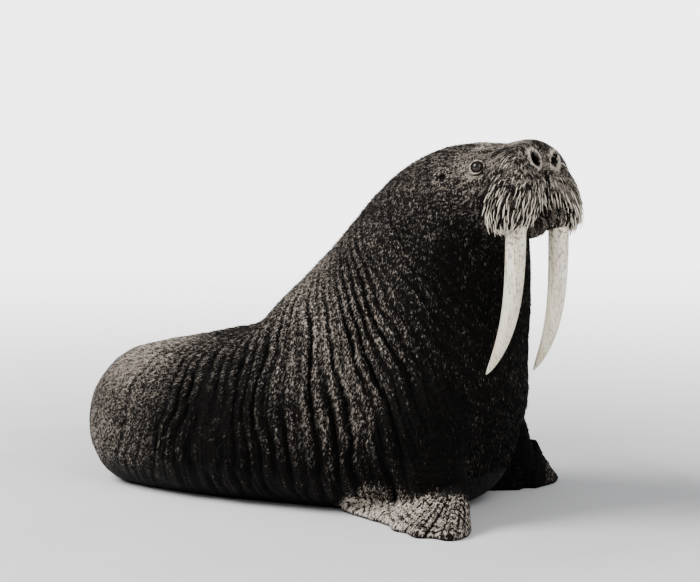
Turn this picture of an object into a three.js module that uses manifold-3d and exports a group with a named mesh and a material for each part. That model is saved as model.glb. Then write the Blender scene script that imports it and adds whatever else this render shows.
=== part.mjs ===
// A bull walrus at rest, propped up on its foreflippers, at life size.
// Millimetres. +X is forward, +Y is to the animal's left, +Z is up, and the floor is z = 0.
// The head turns to the right, and the rump and hind flippers are swept to the left.
import * as THREE from "three";
import { mergeVertices } from "three/addons/utils/BufferGeometryUtils.js";
import Module from "manifold-3d";

const wasm = await Module();
wasm.setup();

// Gap kept between sub-parts that touch
const GAP = 0.3;

// Sections of the trunk and head, before the neck and rump are turned: a point on the back and one
// on the belly, as x and z in the midplane, and the half width between them
const SECTIONS = [
  { at: "rump pole", back: [-1118, 240], belly: [-1116, 218], half: 12 },
  { at: "tail root", back: [-1094, 332], belly: [-1080, 94], half: 126 },
  { at: "rump", back: [-1030, 424], belly: [-985, 22], half: 212 },
  { at: "hips", back: [-925, 504], belly: [-868, -20], half: 293 },
  { at: "small of the back", back: [-790, 568], belly: [-725, -40], half: 382 },
  { at: "loin", back: [-565, 606], belly: [-480, -45], half: 458 },
  { at: "belly", back: [-335, 645], belly: [-215, -45], half: 496 },
  { at: "bend of the back", back: [-139, 700], belly: [60, -40], half: 510 },
  { at: "ribs", back: [-3, 830], belly: [395, -32], half: 502 },
  { at: "withers", back: [124, 952], belly: [735, 34], half: 466 },
  { at: "shoulder", back: [250, 1080], belly: [879, 306], half: 412 },
  { at: "breast", back: [372, 1207], belly: [903, 595], half: 352 },
  { at: "throat base", back: [484, 1292], belly: [911, 797], half: 300 },
  { at: "throat", back: [596, 1337], belly: [915, 920], half: 252 },
  { at: "nape", back: [702, 1354], belly: [928, 972], half: 214 },
  { at: "ears", back: [795, 1358], belly: [950, 990], half: 190 },
  { at: "crown", back: [878, 1352], belly: [978, 1008], half: 175 },
  { at: "eyes", back: [950, 1348], belly: [1008, 1034], half: 163 },
  { at: "cheeks", back: [1012, 1354], belly: [1038, 1064], half: 153 },
  { at: "bridge of the snout", back: [1060, 1356], belly: [1062, 1087], half: 148 },
  { at: "nose", back: [1090, 1341], belly: [1086, 1118], half: 148 },
  { at: "nose front", back: [1106, 1303], belly: [1098, 1160], half: 138 },
  { at: "snout pole", back: [1108, 1236], belly: [1107, 1210], half: 12 },
];
const LAST = SECTIONS.length - 1;
const number = Object.fromEntries(SECTIONS.map((s, i) => [s.at, i]));

// Where the trunk is parted, as section numbers
const PARTINGS = {
  hindquarters: number["small of the back"] + 0.5,
  abdomen: number["bend of the back"] + 0.5,
  chest: number.breast,
  neck: number.nape + 0.5,
};

// Turns of the head and the rump about upright axes in the midplane
const TURNS = [
  { pivot: 550, degrees: -20, from: number.shoulder, to: number.nape },
  { pivot: -560, degrees: -14, from: number.loin, to: number["tail root"] },
];

// Creases round the body, deepest on the flank and shoulder
const CREASE = { perSection: 2, depth: 10, from: 3.5, to: 13, wander: 0.16 };

const EYE = { at: [928, 142, 1256], radius: 23, look: [0.42, 0.86, 0.2] };
const LID = { radius: 24, thick: 6.5, stretch: 0.86, lift: 12 };
const EAR = { at: [792, 188, 1225], radius: 9 };
const NOSTRIL = { at: [1094, 43, 1278], look: [0.93, 0.28, 0.24], long: 19, wide: 10, splay: 28 };
const NOSTRIL_RIM = { radius: 13, thick: 5, stretch: 1.7, lift: 5 };
const PAD = { at: [1058, 95, 1147], size: [102, 98, 119], boxy: 0.82, splay: 0.29 };
const JAW = { at: [1012, 0, 1052], size: [104, 58, 52] };
const MOUTH_GAP = 5;
const TUSK = { at: [1080, 110, 1088], drop: 562, sweep: 130, spread: 12, fore: 40, side: 31 };
const BRISTLES = { rows: 8, perRow: 9, thick: 4.6, shortest: 28, longest: 56, sunk: 7 };

const ARM = {
  line: [
    [535, 235, 680],
    [602, 345, 370],
    [706, 322, 50],
  ],
  fore: [165, 240, 122],
  side: [64, 124, 74],
};

// How far forward and outward each forelimb stands at the shoulder and at the wrist, which way
// its flipper points, and for every flipper the angle of each digit from the middle line and reach
const STANCE = {
  right: { shoulder: [0, 0], wrist: [22, 0], heading: 105 },
  left: { shoulder: [-95, 0], wrist: [-20, 140], heading: 128 },
};
const HAND = {
  root: [800, 280],
  digits: [-29, -9, 15, 43, 71],
  reach: [325, 330, 305, 310, 495],
  start: 40,
  heel: 205,
  edge: 20,
  ridge: 13,
  web: 22,
  margin: 17,
};
const FOOT = {
  digits: [-27, -14, 0, 14, 27],
  reach: [560, 500, 470, 500, 560],
  start: 60,
  heel: 135,
  edge: 14,
  ridge: 13,
  web: 44,
  margin: 5,
};
const FEET = {
  hind_flipper_right: { ...FOOT, root: [-985, 150], heading: 112 },
  hind_flipper_left: { ...FOOT, root: [-830, 235], heading: 66 },
};
const NAIL = { size: [17, 8, 6], back: 40 };
const TAIL = { root: [-1105, 185, 190], tip: [-1172, 252, 128], wide: 48, thick: 26 };

// How finely each surface is divided: round it, and along it
const MESH = {
  trunk: 30,
  head: [30, 17],
  ball: [14, 9],
  pad: [20, 14],
  jaw: [16, 10],
  tusk: [14, 12],
  arm: [20, 7],
  tail: [10, 5],
  nail: [6, 5],
  ear: [10, 8],
  digitColumns: 4,
  marginColumns: 2,
  flipperRows: 6,
};

const MATERIALS = {
  skin: { color: 0x3b302a, roughness: 0.78, metalness: 0 },
  muzzle: { color: 0x54453b, roughness: 0.72, metalness: 0 },
  flipper: { color: 0x453831, roughness: 0.7, metalness: 0 },
  ivory: { color: 0xe6dcc4, roughness: 0.38, metalness: 0 },
  eye: { color: 0x1c120d, roughness: 0.08, metalness: 0 },
};

const UP = new THREE.Vector3(0, 0, 1);
const vector = (v) => new THREE.Vector3(...v);
const ramp = (x, from, to) => THREE.MathUtils.smoothstep(x, from, to);
const power = (v, p) => Math.sign(v) * Math.abs(v) ** p;
const radians = THREE.MathUtils.degToRad;
const mix = THREE.MathUtils.lerp;

// Repeatable variation between -1 and 1
function vary(n) {
  const v = Math.sin(n * 127.1 + 11.7) * 43758.5453;
  return 2 * (v - Math.floor(v)) - 1;
}

// A smooth curve through numbers that are evenly spaced from 0 to 1
function through(numbers) {
  const line = new THREE.SplineCurve(numbers.map((v) => new THREE.Vector2(v, 0)));
  return (t) => line.getPoint(THREE.MathUtils.clamp(t, 0, 1)).x;
}

// The geometry with each point moved by place(point), as a closed solid that faces out
function solid(geometry, place) {
  const at = geometry.getAttribute("position");
  const p = new THREE.Vector3();
  for (let i = 0; i < at.count; i++) {
    const q = place(p.fromBufferAttribute(at, i));
    at.setXYZ(i, q.x, q.y, q.z);
  }
  geometry.deleteAttribute("normal");
  geometry.deleteAttribute("uv");
  const merged = mergeVertices(geometry, 1e-3);
  const vertProperties = new Float32Array(merged.attributes.position.array);
  const triVerts = new Uint32Array(merged.index.array);
  const made = new wasm.Manifold(new wasm.Mesh({ numProp: 3, vertProperties, triVerts }));
  if (made.volume() > 0) return made;
  for (let i = 0; i < triVerts.length; i += 3) {
    [triVerts[i + 1], triVerts[i + 2]] = [triVerts[i + 2], triVerts[i + 1]];
  }
  return new wasm.Manifold(new wasm.Mesh({ numProp: 3, vertProperties, triVerts }));
}

const tube = ([round, along]) => new THREE.CylinderGeometry(1, 1, 1, round, along);
const ball = ([round, along]) => new THREE.SphereGeometry(1, round, along);
const joined = (pieces) => pieces.reduce((a, b) => a.add(b));
const largest = (made) => made.decompose().reduce((a, b) => (b.volume() > a.volume() ? b : a));

// A box between two corners
function block(low, high) {
  const size = high.map((v, i) => v - low[i]);
  const middle = vector(high.map((v, i) => (v + low[i]) / 2));
  return solid(new THREE.BoxGeometry(...size), (p) => p.add(middle));
}

const FAR = 3000;
const underFloor = block([-FAR, -FAR, -FAR], [FAR, FAR, 0]);

// Trunk

const backLine = new THREE.SplineCurve(SECTIONS.map((s) => new THREE.Vector2(...s.back)));
const bellyLine = new THREE.SplineCurve(SECTIONS.map((s) => new THREE.Vector2(...s.belly)));
const halfWidth = through(SECTIONS.map((s) => s.half));

// Turns a point with the head or the rump, by the section that it belongs to
function turn(p, s) {
  for (const { pivot, degrees, from, to } of TURNS) {
    const share = from < to ? ramp(s, from, to) : 1 - ramp(s, to, from);
    p.x -= pivot;
    p.applyAxisAngle(UP, radians(degrees) * share);
    p.x += pivot;
  }
  return p;
}

// How far the creases push the skin out at section s and angle a from the back
function crease(s, a) {
  const along = ramp(s, CREASE.from, CREASE.from + 2) * (1 - ramp(s, CREASE.to - 2, CREASE.to));
  const round = (0.35 + 0.65 * Math.sin(a) ** 2) * (1 - ramp(Math.abs(a), 2.0, 2.7));
  return CREASE.depth * along * round * Math.cos(2 * Math.PI * CREASE.perSection * s);
}

// A point of the skin at section s and angle a from the back, grown outward
function skinPoint(s, a, grow = 0) {
  const back = backLine.getPoint(Math.min(s / LAST, 1));
  const belly = bellyLine.getPoint(Math.min(s / LAST, 1));
  const onFloor = ramp(s, 1, 4) * (1 - ramp(s, 8, 11));
  const level = 0.5 - 0.07 * onFloor;
  const middle = belly.clone().lerp(back, level);
  const rise = back.clone().sub(belly);
  const height = rise.length();
  const upper = Math.abs(a) < Math.PI / 2;
  const reach = height * (upper ? 1 - level : level);
  const roundness = upper ? 1 : 1 - 0.2 * onFloor;
  const push = crease(s, a) + grow;
  const v = (power(Math.cos(a), roundness) * (reach + push)) / height;
  const w = power(Math.sin(a), roundness) * (halfWidth(s / LAST) + push);
  return turn(new THREE.Vector3(middle.x + rise.x * v, w, middle.y + rise.y * v), s);
}

// The trunk from one section to another, with flat ends
function trunk(from, to, size, grow = 0) {
  const partings = Object.values(PARTINGS);
  return solid(tube(size), (p) => {
    const s = mix(from, to, 0.5 - p.y);
    const a = Math.atan2(p.x, p.z);
    if (Math.hypot(p.x, p.z) < 0.5) {
      return skinPoint(s, 0).add(skinPoint(s, Math.PI)).multiplyScalar(0.5);
    }
    const clear = ramp(Math.min(...partings.map((at) => Math.abs(at - s))), 0, 0.6);
    const creased = ramp(s, CREASE.from, CREASE.from + 1) * (1 - ramp(s, CREASE.to, CREASE.to + 1));
    const drift = 0.6 * Math.sin(3 * a + 2.1 * Math.sin(s)) + 0.4 * Math.sin(5 * a - s);
    return skinPoint(s + CREASE.wander * clear * creased * drift, a, grow);
  });
}

const trunkNodes = Object.entries(PARTINGS).map(([name, to], i, all) => {
  const from = i ? all[i - 1][1] : 0;
  const rows = Math.round((to - from) * (i ? 2 * CREASE.perSection : 3));
  return { name, from, to, size: [MESH.trunk, rows] };
});
const SEAM = GAP / 2 / 110;

const stretches = Object.fromEntries(
  trunkNodes.map(({ name, from, to, size }) => [
    name,
    trunk(from ? from + SEAM : 0, to - SEAM, size).subtract(underFloor),
  ]),
);
const trunkRoom = joined(
  trunkNodes.map(({ from, to, size }) => trunk(from, to + SEAM, size, GAP + 0.15)),
);

// Head

// Moves a point of the right or left half of the head to its place
const onHead = (p, side) => turn(p.setY(p.y * side), LAST);

// A rounded lump whose lower part may stand farther out than its upper part
function lump({ at, size, boxy = 1, splay = 0 }, side, divided, grow = 0) {
  return solid(ball(divided), (p) => {
    const [fore, out, up] = [p.x, p.z, p.y].map((v) => power(v, boxy));
    p.set(fore * (size[0] + grow), out * (size[1] + grow), up * (size[2] + grow));
    p.y -= splay * p.z;
    return onHead(p.add(vector(at)), side);
  });
}

// Moves a shape from its own outward, upward and forward axes to a place that faces along look,
// with its top leaning outward
function facing({ at, look, splay = 0 }) {
  const ahead = vector(look).normalize();
  const out = new THREE.Vector3().crossVectors(UP, ahead).normalize();
  const up = new THREE.Vector3().crossVectors(ahead, out);
  const lean = new THREE.Matrix4().makeRotationZ(-radians(splay));
  return new THREE.Matrix4().makeBasis(out, up, ahead).multiply(lean).setPosition(...at);
}

// A ring of skin round an opening
function ring(opening, { radius, thick, stretch, lift }, side, grow = 0) {
  const place = facing(opening);
  return solid(new THREE.TorusGeometry(radius, thick + grow, 6, 12), (p) => {
    p.y *= stretch;
    p.z += lift;
    return onHead(p.applyMatrix4(place), side);
  });
}

const eyeball = (side, grow = 0) =>
  lump({ at: EYE.at, size: Array(3).fill(EYE.radius) }, side, MESH.ball, grow);

function nostril(side) {
  const place = facing(NOSTRIL);
  return solid(ball(MESH.ball), (p) => {
    p.multiply(new THREE.Vector3(NOSTRIL.wide, NOSTRIL.long, NOSTRIL.long));
    return onHead(p.applyMatrix4(place), side);
  });
}

const SIDES = { right: -1, left: 1 };
const sides = Object.values(SIDES);

function headForm(grow = 0) {
  return joined([
    trunk(PARTINGS.neck + SEAM, LAST, MESH.head, grow),
    ...sides.map((side) => ring(EYE, LID, side, grow)),
    ...sides.map((side) => ring(NOSTRIL, NOSTRIL_RIM, side, grow)),
  ]);
}

// Tusks hang nearly straight, then sweep back to the tip
function tusk(side, grow = 0) {
  return solid(tube(MESH.tusk), (p) => {
    const t = 0.5 - p.y;
    const taper = Math.max(0.03, (1 - t ** 2.7) ** 0.7);
    const [x, y, z] = TUSK.at;
    const fore = p.z * (TUSK.fore * taper + grow);
    const out = p.x * (TUSK.side * taper + grow);
    const lean = 3.5 * TUSK.sweep * t ** 2.5;
    const end = grow * (t < 0.5 ? 1 : -1);
    const place = new THREE.Vector3(
      x - TUSK.sweep * t ** 3.5 + fore,
      y + TUSK.spread * t ** 2 + out,
      z - TUSK.drop * t - (fore * lean) / TUSK.drop + end,
    );
    return onHead(place, side);
  });
}

const jawForm = (grow = 0) => lump(JAW, 1, MESH.jaw, grow);

// One stiff bristle: a thin cone that bends down
function bristle(root, aim, length, side) {
  const across = new THREE.Vector3().crossVectors(aim, UP).normalize();
  const other = new THREE.Vector3().crossVectors(aim, across);
  const thick = BRISTLES.thick / 2;
  return solid(new THREE.ConeGeometry(1, 1, 3, 2), (p) => {
    const t = p.y + 0.5;
    const place = root.clone().addScaledVector(aim, length * t);
    place.addScaledVector(UP, -0.3 * length * t * t);
    place.addScaledVector(across, p.x * thick).addScaledVector(other, p.z * thick);
    return onHead(place, side);
  });
}

// The bristles of one pad, in rows from the nose down to the lip
function bristles(side) {
  const made = [];
  for (let row = 0; row < BRISTLES.rows; row++) {
    const down = row / (BRISTLES.rows - 1);
    for (let i = 0; i < BRISTLES.perRow; i++) {
      const n = row * BRISTLES.perRow + i;
      const along = (i + 0.5 * (row % 2) + 0.2 * vary(n)) / BRISTLES.perRow;
      const turnOut = radians(mix(-38, 118, along));
      const pitch = radians(mix(42, -62, down) + 2.5 * vary(n + 500));
      const face = new THREE.Vector3(
        Math.cos(turnOut) * Math.cos(pitch),
        Math.sin(turnOut) * Math.cos(pitch),
        Math.sin(pitch),
      );
      const root = face.clone().multiply(vector(PAD.size)).add(vector(PAD.at));
      root.y -= PAD.splay * face.z * PAD.size[2];
      if (root.y < 3) continue;
      const aim = face.clone().multiplyScalar(0.75);
      aim.add(new THREE.Vector3(-0.05, 0.14 * along, -0.85)).normalize();
      root.addScaledVector(face, -BRISTLES.sunk);
      const middle = Math.sin(Math.PI * down ** 0.8);
      const length = mix(BRISTLES.shortest, BRISTLES.longest, middle) * (1 + 0.12 * vary(n + 90));
      made.push(bristle(root, aim, length, side));
    }
  }
  return made;
}

const headRoom = headForm(GAP);
const jawRoom = jawForm(MOUTH_GAP);
const tuskRoom = joined(sides.map((side) => tusk(side, GAP)));

function muzzlePad(side) {
  const halfPlane = solid(new THREE.BoxGeometry(800, 400, 800), (p) =>
    onHead(p.add(new THREE.Vector3(1100, -200 + GAP / 2, 1100)), side),
  );
  const form = joined([lump(PAD, side, MESH.pad), ...bristles(side)]);
  return largest(form.subtract(joined([headRoom, jawRoom, tuskRoom])).subtract(halfPlane));
}

const sockets = joined(sides.map((side) => eyeball(side, GAP)));
const earPits = joined(
  sides.map((side) => lump({ at: EAR.at, size: Array(3).fill(EAR.radius) }, side, MESH.ear)),
);
const head = largest(
  headForm().subtract(joined([sockets, earPits, nostril(1), nostril(-1), tuskRoom])),
);

// Flippers

function limb(line, fore, side, size, grow = 0) {
  const path = new THREE.CatmullRomCurve3(line.map(vector));
  const foreAt = through(fore);
  const sideAt = through(side);
  return (sign) =>
    solid(tube(size), (p) => {
      const t = 0.5 - p.y;
      const place = path.getPoint(t);
      place.x += p.z * (foreAt(t) + grow);
      place.y += p.x * (sideAt(t) + grow);
      return place.setY(place.y * sign);
    });
}

// The angle, reach and ridge of a flipper at a share of the way across it
function acrossFlipper(f, share) {
  const inner = 4 * MESH.digitColumns;
  const column = share * (inner + 2 * MESH.marginColumns) - MESH.marginColumns;
  const digit = THREE.MathUtils.clamp(column / MESH.digitColumns, 0, 4);
  const i = Math.min(Math.floor(digit), 3);
  const past = (column < 0 ? column : Math.max(0, column - inner)) / MESH.marginColumns;
  const angle = mix(f.digits[i], f.digits[i + 1], digit - i) + f.margin * past;
  const between = Math.sin(Math.PI * (digit - i)) ** 2;
  const edge = 1 - 0.42 * past * past;
  const reach = (mix(f.reach[i], f.reach[i + 1], digit - i) - f.web * between) * edge;
  const ridge = (1 - between) * (1 - Math.abs(past));
  return { angle: radians(f.heading + angle), reach, ridge, past };
}

function flipperHeight(f, out, ridge) {
  const toes = f.ridge * ridge * ramp(out, 0.25, 0.6) * (1 - ramp(out, 0.9, 1));
  return f.edge + (f.heel - f.edge) * (1 - out) ** 1.4 + toes;
}

// A flat webbed flipper with its nails, lying on the floor
function flipper(f, side, grow = 0) {
  const columns = 4 * MESH.digitColumns + 2 * MESH.marginColumns;
  const form = solid(new THREE.BoxGeometry(1, 1, 1, MESH.flipperRows, columns, 1), (p) => {
    const out = p.x + 0.5;
    const { angle, reach, ridge, past } = acrossFlipper(f, p.y + 0.5);
    const r = mix(f.start - grow, reach + grow, out);
    const rim = out > 0.999 ? 0.55 : 1;
    const height = flipperHeight(f, out, ridge) * rim + 3 * grow;
    const wider = angle + (past * grow) / r;
    const [x, y] = f.root;
    return new THREE.Vector3(
      x + r * Math.cos(wider),
      side * (y + r * Math.sin(wider)),
      p.z > 0 ? height : 0,
    );
  });
  const nails = f.digits.map((_, i) => {
    const share = (MESH.marginColumns + i * MESH.digitColumns) / columns;
    const { angle, reach, ridge } = acrossFlipper(f, share);
    const out = (reach - NAIL.back - f.start) / (reach - f.start);
    const [x, y] = f.root;
    return solid(ball(MESH.nail), (p) => {
      p.multiply(vector([NAIL.size[0], NAIL.size[2], NAIL.size[1]]));
      p.set(p.x, p.z, p.y).applyAxisAngle(UP, angle);
      p.x += x + (reach - NAIL.back) * Math.cos(angle);
      p.y += y + (reach - NAIL.back) * Math.sin(angle);
      p.z += flipperHeight(f, out, ridge);
      return p.setY(p.y * side);
    });
  });
  return joined([form, ...nails]);
}

function armLine({ shoulder, wrist }) {
  const moves = [shoulder, shoulder, wrist];
  return ARM.line.map(([x, y, z], i) => [x + moves[i][0], y + moves[i][1], z]);
}

function tail() {
  const line = new THREE.LineCurve3(vector(TAIL.root), vector(TAIL.tip));
  const aim = line.getTangent(0);
  const across = new THREE.Vector3().crossVectors(aim, UP).normalize();
  const other = new THREE.Vector3().crossVectors(across, aim);
  return solid(tube(MESH.tail), (p) => {
    const t = 0.5 - p.y;
    const taper = Math.sqrt(1.04 - t * t);
    const place = line.getPoint(t);
    place.addScaledVector(across, p.x * TAIL.wide * taper);
    return place.addScaledVector(other, p.z * TAIL.thick * taper);
  });
}

// The model

const nodes = { ...stretches, head };
const finish = { head: "skin" };
for (const name of Object.keys(stretches)) finish[name] = "skin";

function add(name, made, material) {
  nodes[name] = made;
  finish[name] = material;
}

add("lower_jaw", largest(jawForm().subtract(joined([headRoom, tuskRoom, trunkRoom]))), "muzzle");
for (const [name, side] of Object.entries(SIDES)) {
  const stance = STANCE[name];
  const place = [stance.wrist[0], side * stance.wrist[1], 0];
  const form = { ...HAND, heading: stance.heading };
  const hand = largest(flipper(form, side).translate(place).subtract(trunkRoom));
  const room = joined([trunkRoom, flipper(form, side, GAP).translate(place), underFloor]);
  const arm = largest(limb(armLine(stance), ARM.fore, ARM.side, MESH.arm)(side).subtract(room));
  add(`muzzle_pad_${name}`, muzzlePad(side), "muzzle");
  add(`tusk_${name}`, tusk(side), "ivory");
  add(`eye_${name}`, eyeball(side), "eye");
  add(`foreflipper_${name}`, hand, "flipper");
  add(`forearm_${name}`, arm, "skin");
}
for (const [name, sizes] of Object.entries(FEET)) {
  add(name, largest(flipper(sizes, 1).subtract(trunkRoom)), "flipper");
}
add("tail", largest(tail().subtract(trunkRoom)), "skin");

const walrus = new THREE.Group();
for (const [name, made] of Object.entries(nodes)) {
  const { vertProperties, triVerts } = made.getMesh();
  const geometry = new THREE.BufferGeometry();
  geometry.setAttribute("position", new THREE.BufferAttribute(vertProperties, 3));
  geometry.setIndex(new THREE.BufferAttribute(triVerts, 1));
  geometry.computeVertexNormals();
  const mesh = new THREE.Mesh(geometry, new THREE.MeshStandardMaterial(MATERIALS[finish[name]]));
  mesh.name = name;
  walrus.add(mesh);
}

// The origin is under the middle of the whole animal
const whole = new THREE.Box3().setFromObject(walrus);
const middle = whole.getCenter(new THREE.Vector3());
walrus.position.set(-middle.x, -middle.y, -whole.min.z);

export default walrus;
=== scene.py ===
import math

import bmesh
import bpy
import numpy as np
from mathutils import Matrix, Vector
from mathutils.bvhtree import BVHTree


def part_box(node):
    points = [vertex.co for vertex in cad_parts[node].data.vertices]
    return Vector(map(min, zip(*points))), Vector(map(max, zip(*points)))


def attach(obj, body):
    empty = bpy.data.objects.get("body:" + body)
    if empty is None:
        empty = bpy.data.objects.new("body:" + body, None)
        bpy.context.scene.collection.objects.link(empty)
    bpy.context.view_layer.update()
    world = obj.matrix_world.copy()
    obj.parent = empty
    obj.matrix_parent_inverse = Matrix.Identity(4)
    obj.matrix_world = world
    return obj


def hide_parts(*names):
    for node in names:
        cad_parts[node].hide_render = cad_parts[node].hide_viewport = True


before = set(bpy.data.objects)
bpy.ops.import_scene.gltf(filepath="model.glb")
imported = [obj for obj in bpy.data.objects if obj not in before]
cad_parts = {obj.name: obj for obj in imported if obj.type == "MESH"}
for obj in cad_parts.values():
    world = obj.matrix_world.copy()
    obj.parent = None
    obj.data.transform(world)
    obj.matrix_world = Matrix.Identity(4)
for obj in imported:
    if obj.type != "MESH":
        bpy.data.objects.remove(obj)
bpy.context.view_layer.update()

# Camera and light
# The animal is seen from its right front, from a little below eye height, in soft light that
# comes from high up on the left over a pale floor.

VIEW = {"azimuth": 30.0, "look": (0.139, 0.080), "away": 5.5, "height": 1.0, "pitch": 2.1}
SENSOR = 36
LENS = 1375 / 700 * SENSOR
EYE_AT = (0.928, 0.142, 1.256)

# Trunk and head
# The hide of the trunk is one closed skin from the rump to the snout, stretched over sections.
# Each section is a point on the back, a point on the belly and a half width, in metres, with the
# animal straight, and the head and the rump are turned afterwards, as in the solids.

SECTIONS = {
    "rump pole": ((-1.118, 0.240), (-1.116, 0.218), 0.012),
    "tail root": ((-1.094, 0.332), (-1.080, 0.094), 0.126),
    "rump": ((-1.030, 0.424), (-0.985, 0.022), 0.212),
    "hips": ((-0.925, 0.504), (-0.868, -0.020), 0.293),
    "small of the back": ((-0.790, 0.568), (-0.725, -0.040), 0.382),
    "loin": ((-0.565, 0.606), (-0.480, -0.045), 0.458),
    "belly": ((-0.335, 0.645), (-0.215, -0.045), 0.496),
    "bend of the back": ((-0.139, 0.700), (0.060, -0.040), 0.510),
    "ribs": ((-0.003, 0.830), (0.395, -0.032), 0.502),
    "withers": ((0.124, 0.952), (0.735, 0.034), 0.466),
    "shoulder": ((0.250, 1.080), (0.879, 0.306), 0.412),
    "breast": ((0.372, 1.207), (0.903, 0.595), 0.352),
    "throat base": ((0.484, 1.292), (0.911, 0.797), 0.300),
    "throat": ((0.596, 1.337), (0.915, 0.920), 0.252),
    "nape": ((0.702, 1.354), (0.928, 0.972), 0.214),
    "ears": ((0.795, 1.358), (0.950, 0.990), 0.190),
    "crown": ((0.878, 1.352), (0.978, 1.008), 0.175),
    "eyes": ((0.950, 1.348), (1.008, 1.034), 0.163),
    "cheeks": ((1.012, 1.354), (1.038, 1.064), 0.153),
    "bridge of the snout": ((1.060, 1.356), (1.062, 1.087), 0.148),
    "nose": ((1.090, 1.341), (1.086, 1.118), 0.148),
    "nose front": ((1.106, 1.303), (1.098, 1.160), 0.138),
    "snout pole": ((1.108, 1.236), (1.107, 1.210), 0.012),
}
NUMBER = {name: i for i, name in enumerate(SECTIONS)}
LAST = len(SECTIONS) - 1
TURNS = (
    (0.550, -20, NUMBER["shoulder"], NUMBER["nape"]),
    (-0.560, -14, NUMBER["loin"], NUMBER["tail root"]),
)
UNDER_COAT = -0.003
FLOOR_GAP = 0.0005


def ramp(x, low, high):
    t = np.clip((x - low) / (high - low), 0, 1)
    return t * t * (3 - 2 * t)


def band(x, start, full, fading, gone):
    return ramp(x, start, full) * (1 - ramp(x, fading, gone))


def along_spline(rows, s):
    """A smooth curve through evenly spaced rows of numbers, at places s from 0 to the last row."""
    rows = np.asarray(rows, float).reshape(len(rows), -1)
    last = len(rows) - 1
    s = np.clip(s, 0, last)
    i = np.minimum(np.floor(s), last - 1).astype(int)
    w = (s - i)[..., None]
    before, here, after, beyond = (rows[np.clip(i + k, 0, last)] for k in (-1, 0, 1, 2))
    v0, v1 = (after - before) / 2, (beyond - here) / 2
    cubic = (2 * here - 2 * after + v0 + v1) * w + (-3 * here + 3 * after - 2 * v0 - v1)
    return (cubic * w + v0) * w + here


def section_at(s):
    rows = [(*back, *belly, half) for back, belly, half in SECTIONS.values()]
    found = along_spline(rows, s)
    return found[..., :2], found[..., 2:4], found[..., 4]


def turned(points, s, undo=False):
    """Points moved with the head or the rump, by the section that each belongs to."""
    points = np.array(points, float)
    for pivot, degrees, start, end in TURNS:
        share = ramp(s, start, end) if start < end else 1 - ramp(s, end, start)
        angle = np.radians(-degrees if undo else degrees) * share
        x, y = points[..., 0] - pivot, points[..., 1].copy()
        points[..., 0] = pivot + x * np.cos(angle) - y * np.sin(angle)
        points[..., 1] = x * np.sin(angle) + y * np.cos(angle)
    return points


# The solids are moved so that the floor's middle is under the whole animal: one eye tells how far
eye_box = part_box("eye_left")
ORIGIN = np.array((eye_box[0] + eye_box[1]) / 2) - turned(EYE_AT, LAST)
ORIGIN[2] = 0


def signed_power(v, p):
    return np.sign(v) * np.abs(v) ** p


def flatness(s):
    return band(s, 1, 4, 8, 11)


def widest_level(s):
    """How high up a section is widest, as a share of its height."""
    return 0.5 - 0.07 * flatness(s)


def skin_point(s, a, grow=UNDER_COAT):
    """The point of the hide at section s and angle a from the back."""
    back, belly, half = section_at(s)
    level = widest_level(s)
    middle = belly + (back - belly) * level[..., None]
    rise = back - belly
    height = np.linalg.norm(rise, axis=-1)
    upper = np.abs(a) < np.pi / 2
    reach = height * np.where(upper, 1 - level, level)
    roundness = np.where(upper, 1, 1 - 0.2 * flatness(s))
    v = signed_power(np.cos(a), roundness) * (reach + grow) / height
    w = signed_power(np.sin(a), roundness) * (half + grow)
    point = np.stack((middle[..., 0] + rise[..., 0] * v, w, middle[..., 1] + rise[..., 1] * v), -1)
    return turned(point, s) + ORIGIN


def coordinates(mesh):
    co = np.empty(len(mesh.vertices) * 3, np.float32)
    mesh.vertices.foreach_get("co", co)
    return co.reshape(-1, 3).astype(float)


def placed(name, bm, place):
    """A mesh from a bmesh, with all its vertices moved at once by place(points)."""
    mesh = bpy.data.meshes.new(name)
    bm.to_mesh(mesh)
    bm.free()
    mesh.vertices.foreach_set("co", place(coordinates(mesh)).astype(np.float32).ravel())
    mesh.update()
    return mesh


def ball(around, along):
    bm = bmesh.new()
    bmesh.ops.create_uvsphere(bm, u_segments=around, v_segments=along, radius=1)
    return bm


def trunk_place(p):
    s = np.arccos(np.clip(p[:, 2], -1, 1)) / np.pi * LAST
    s = LAST - s
    return skin_point(s, np.arctan2(p[:, 1], p[:, 0]))


flesh = [placed("trunk", ball(180, 420), trunk_place)]


def on_head(p):
    """Points given in the straight animal, moved to the turned head."""
    return turned(p, np.full(len(p), float(LAST))) + ORIGIN


# Muzzle pads and chin
# Two thick pads of gristle and skin hang over the mouth and carry the bristles, and the chin
# shows as a small dark pad behind and below them, between the tusks.

PAD = {"at": (1.058, 0.095, 1.147), "size": (0.102, 0.098, 0.119), "boxy": 0.82, "splay": 0.29}
CHIN = {"at": (1.012, 0.0, 1.052), "size": (0.104, 0.058, 0.052), "boxy": 1.0, "splay": 0}
SIDES = {"right": -1, "left": 1}


def lump_place(form, side, grow=UNDER_COAT):
    at = np.array(form["at"])
    size = np.array(form["size"]) + grow

    def place(p):
        q = signed_power(p, form["boxy"]) * size
        q[:, 1] -= form["splay"] * q[:, 2]
        q = (q + at) * (1, side, 1)
        return on_head(q)

    return place


flesh.append(placed("chin", ball(60, 40), lump_place(CHIN, 1)))
for side in SIDES.values():
    flesh.append(placed("pad", ball(80, 56), lump_place(PAD, side)))

# Forearms
# The arm leaves the chest under the shoulder, bulges at the elbow and narrows to the wrist. The
# left one leaves the chest farther back than the right one, and its wrist is farther out.

ARM_LINE = ((0.535, 0.235, 0.680), (0.602, 0.345, 0.370), (0.706, 0.322, 0.050))
ARM_FORE = (0.165, 0.240, 0.122)
ARM_SIDE = (0.064, 0.124, 0.074)
STANCE = {
    "right": {"shoulder": (0.0, 0.0), "wrist": (0.022, 0.0)},
    "left": {"shoulder": (-0.095, 0.0), "wrist": (-0.020, 0.140)},
}


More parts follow.
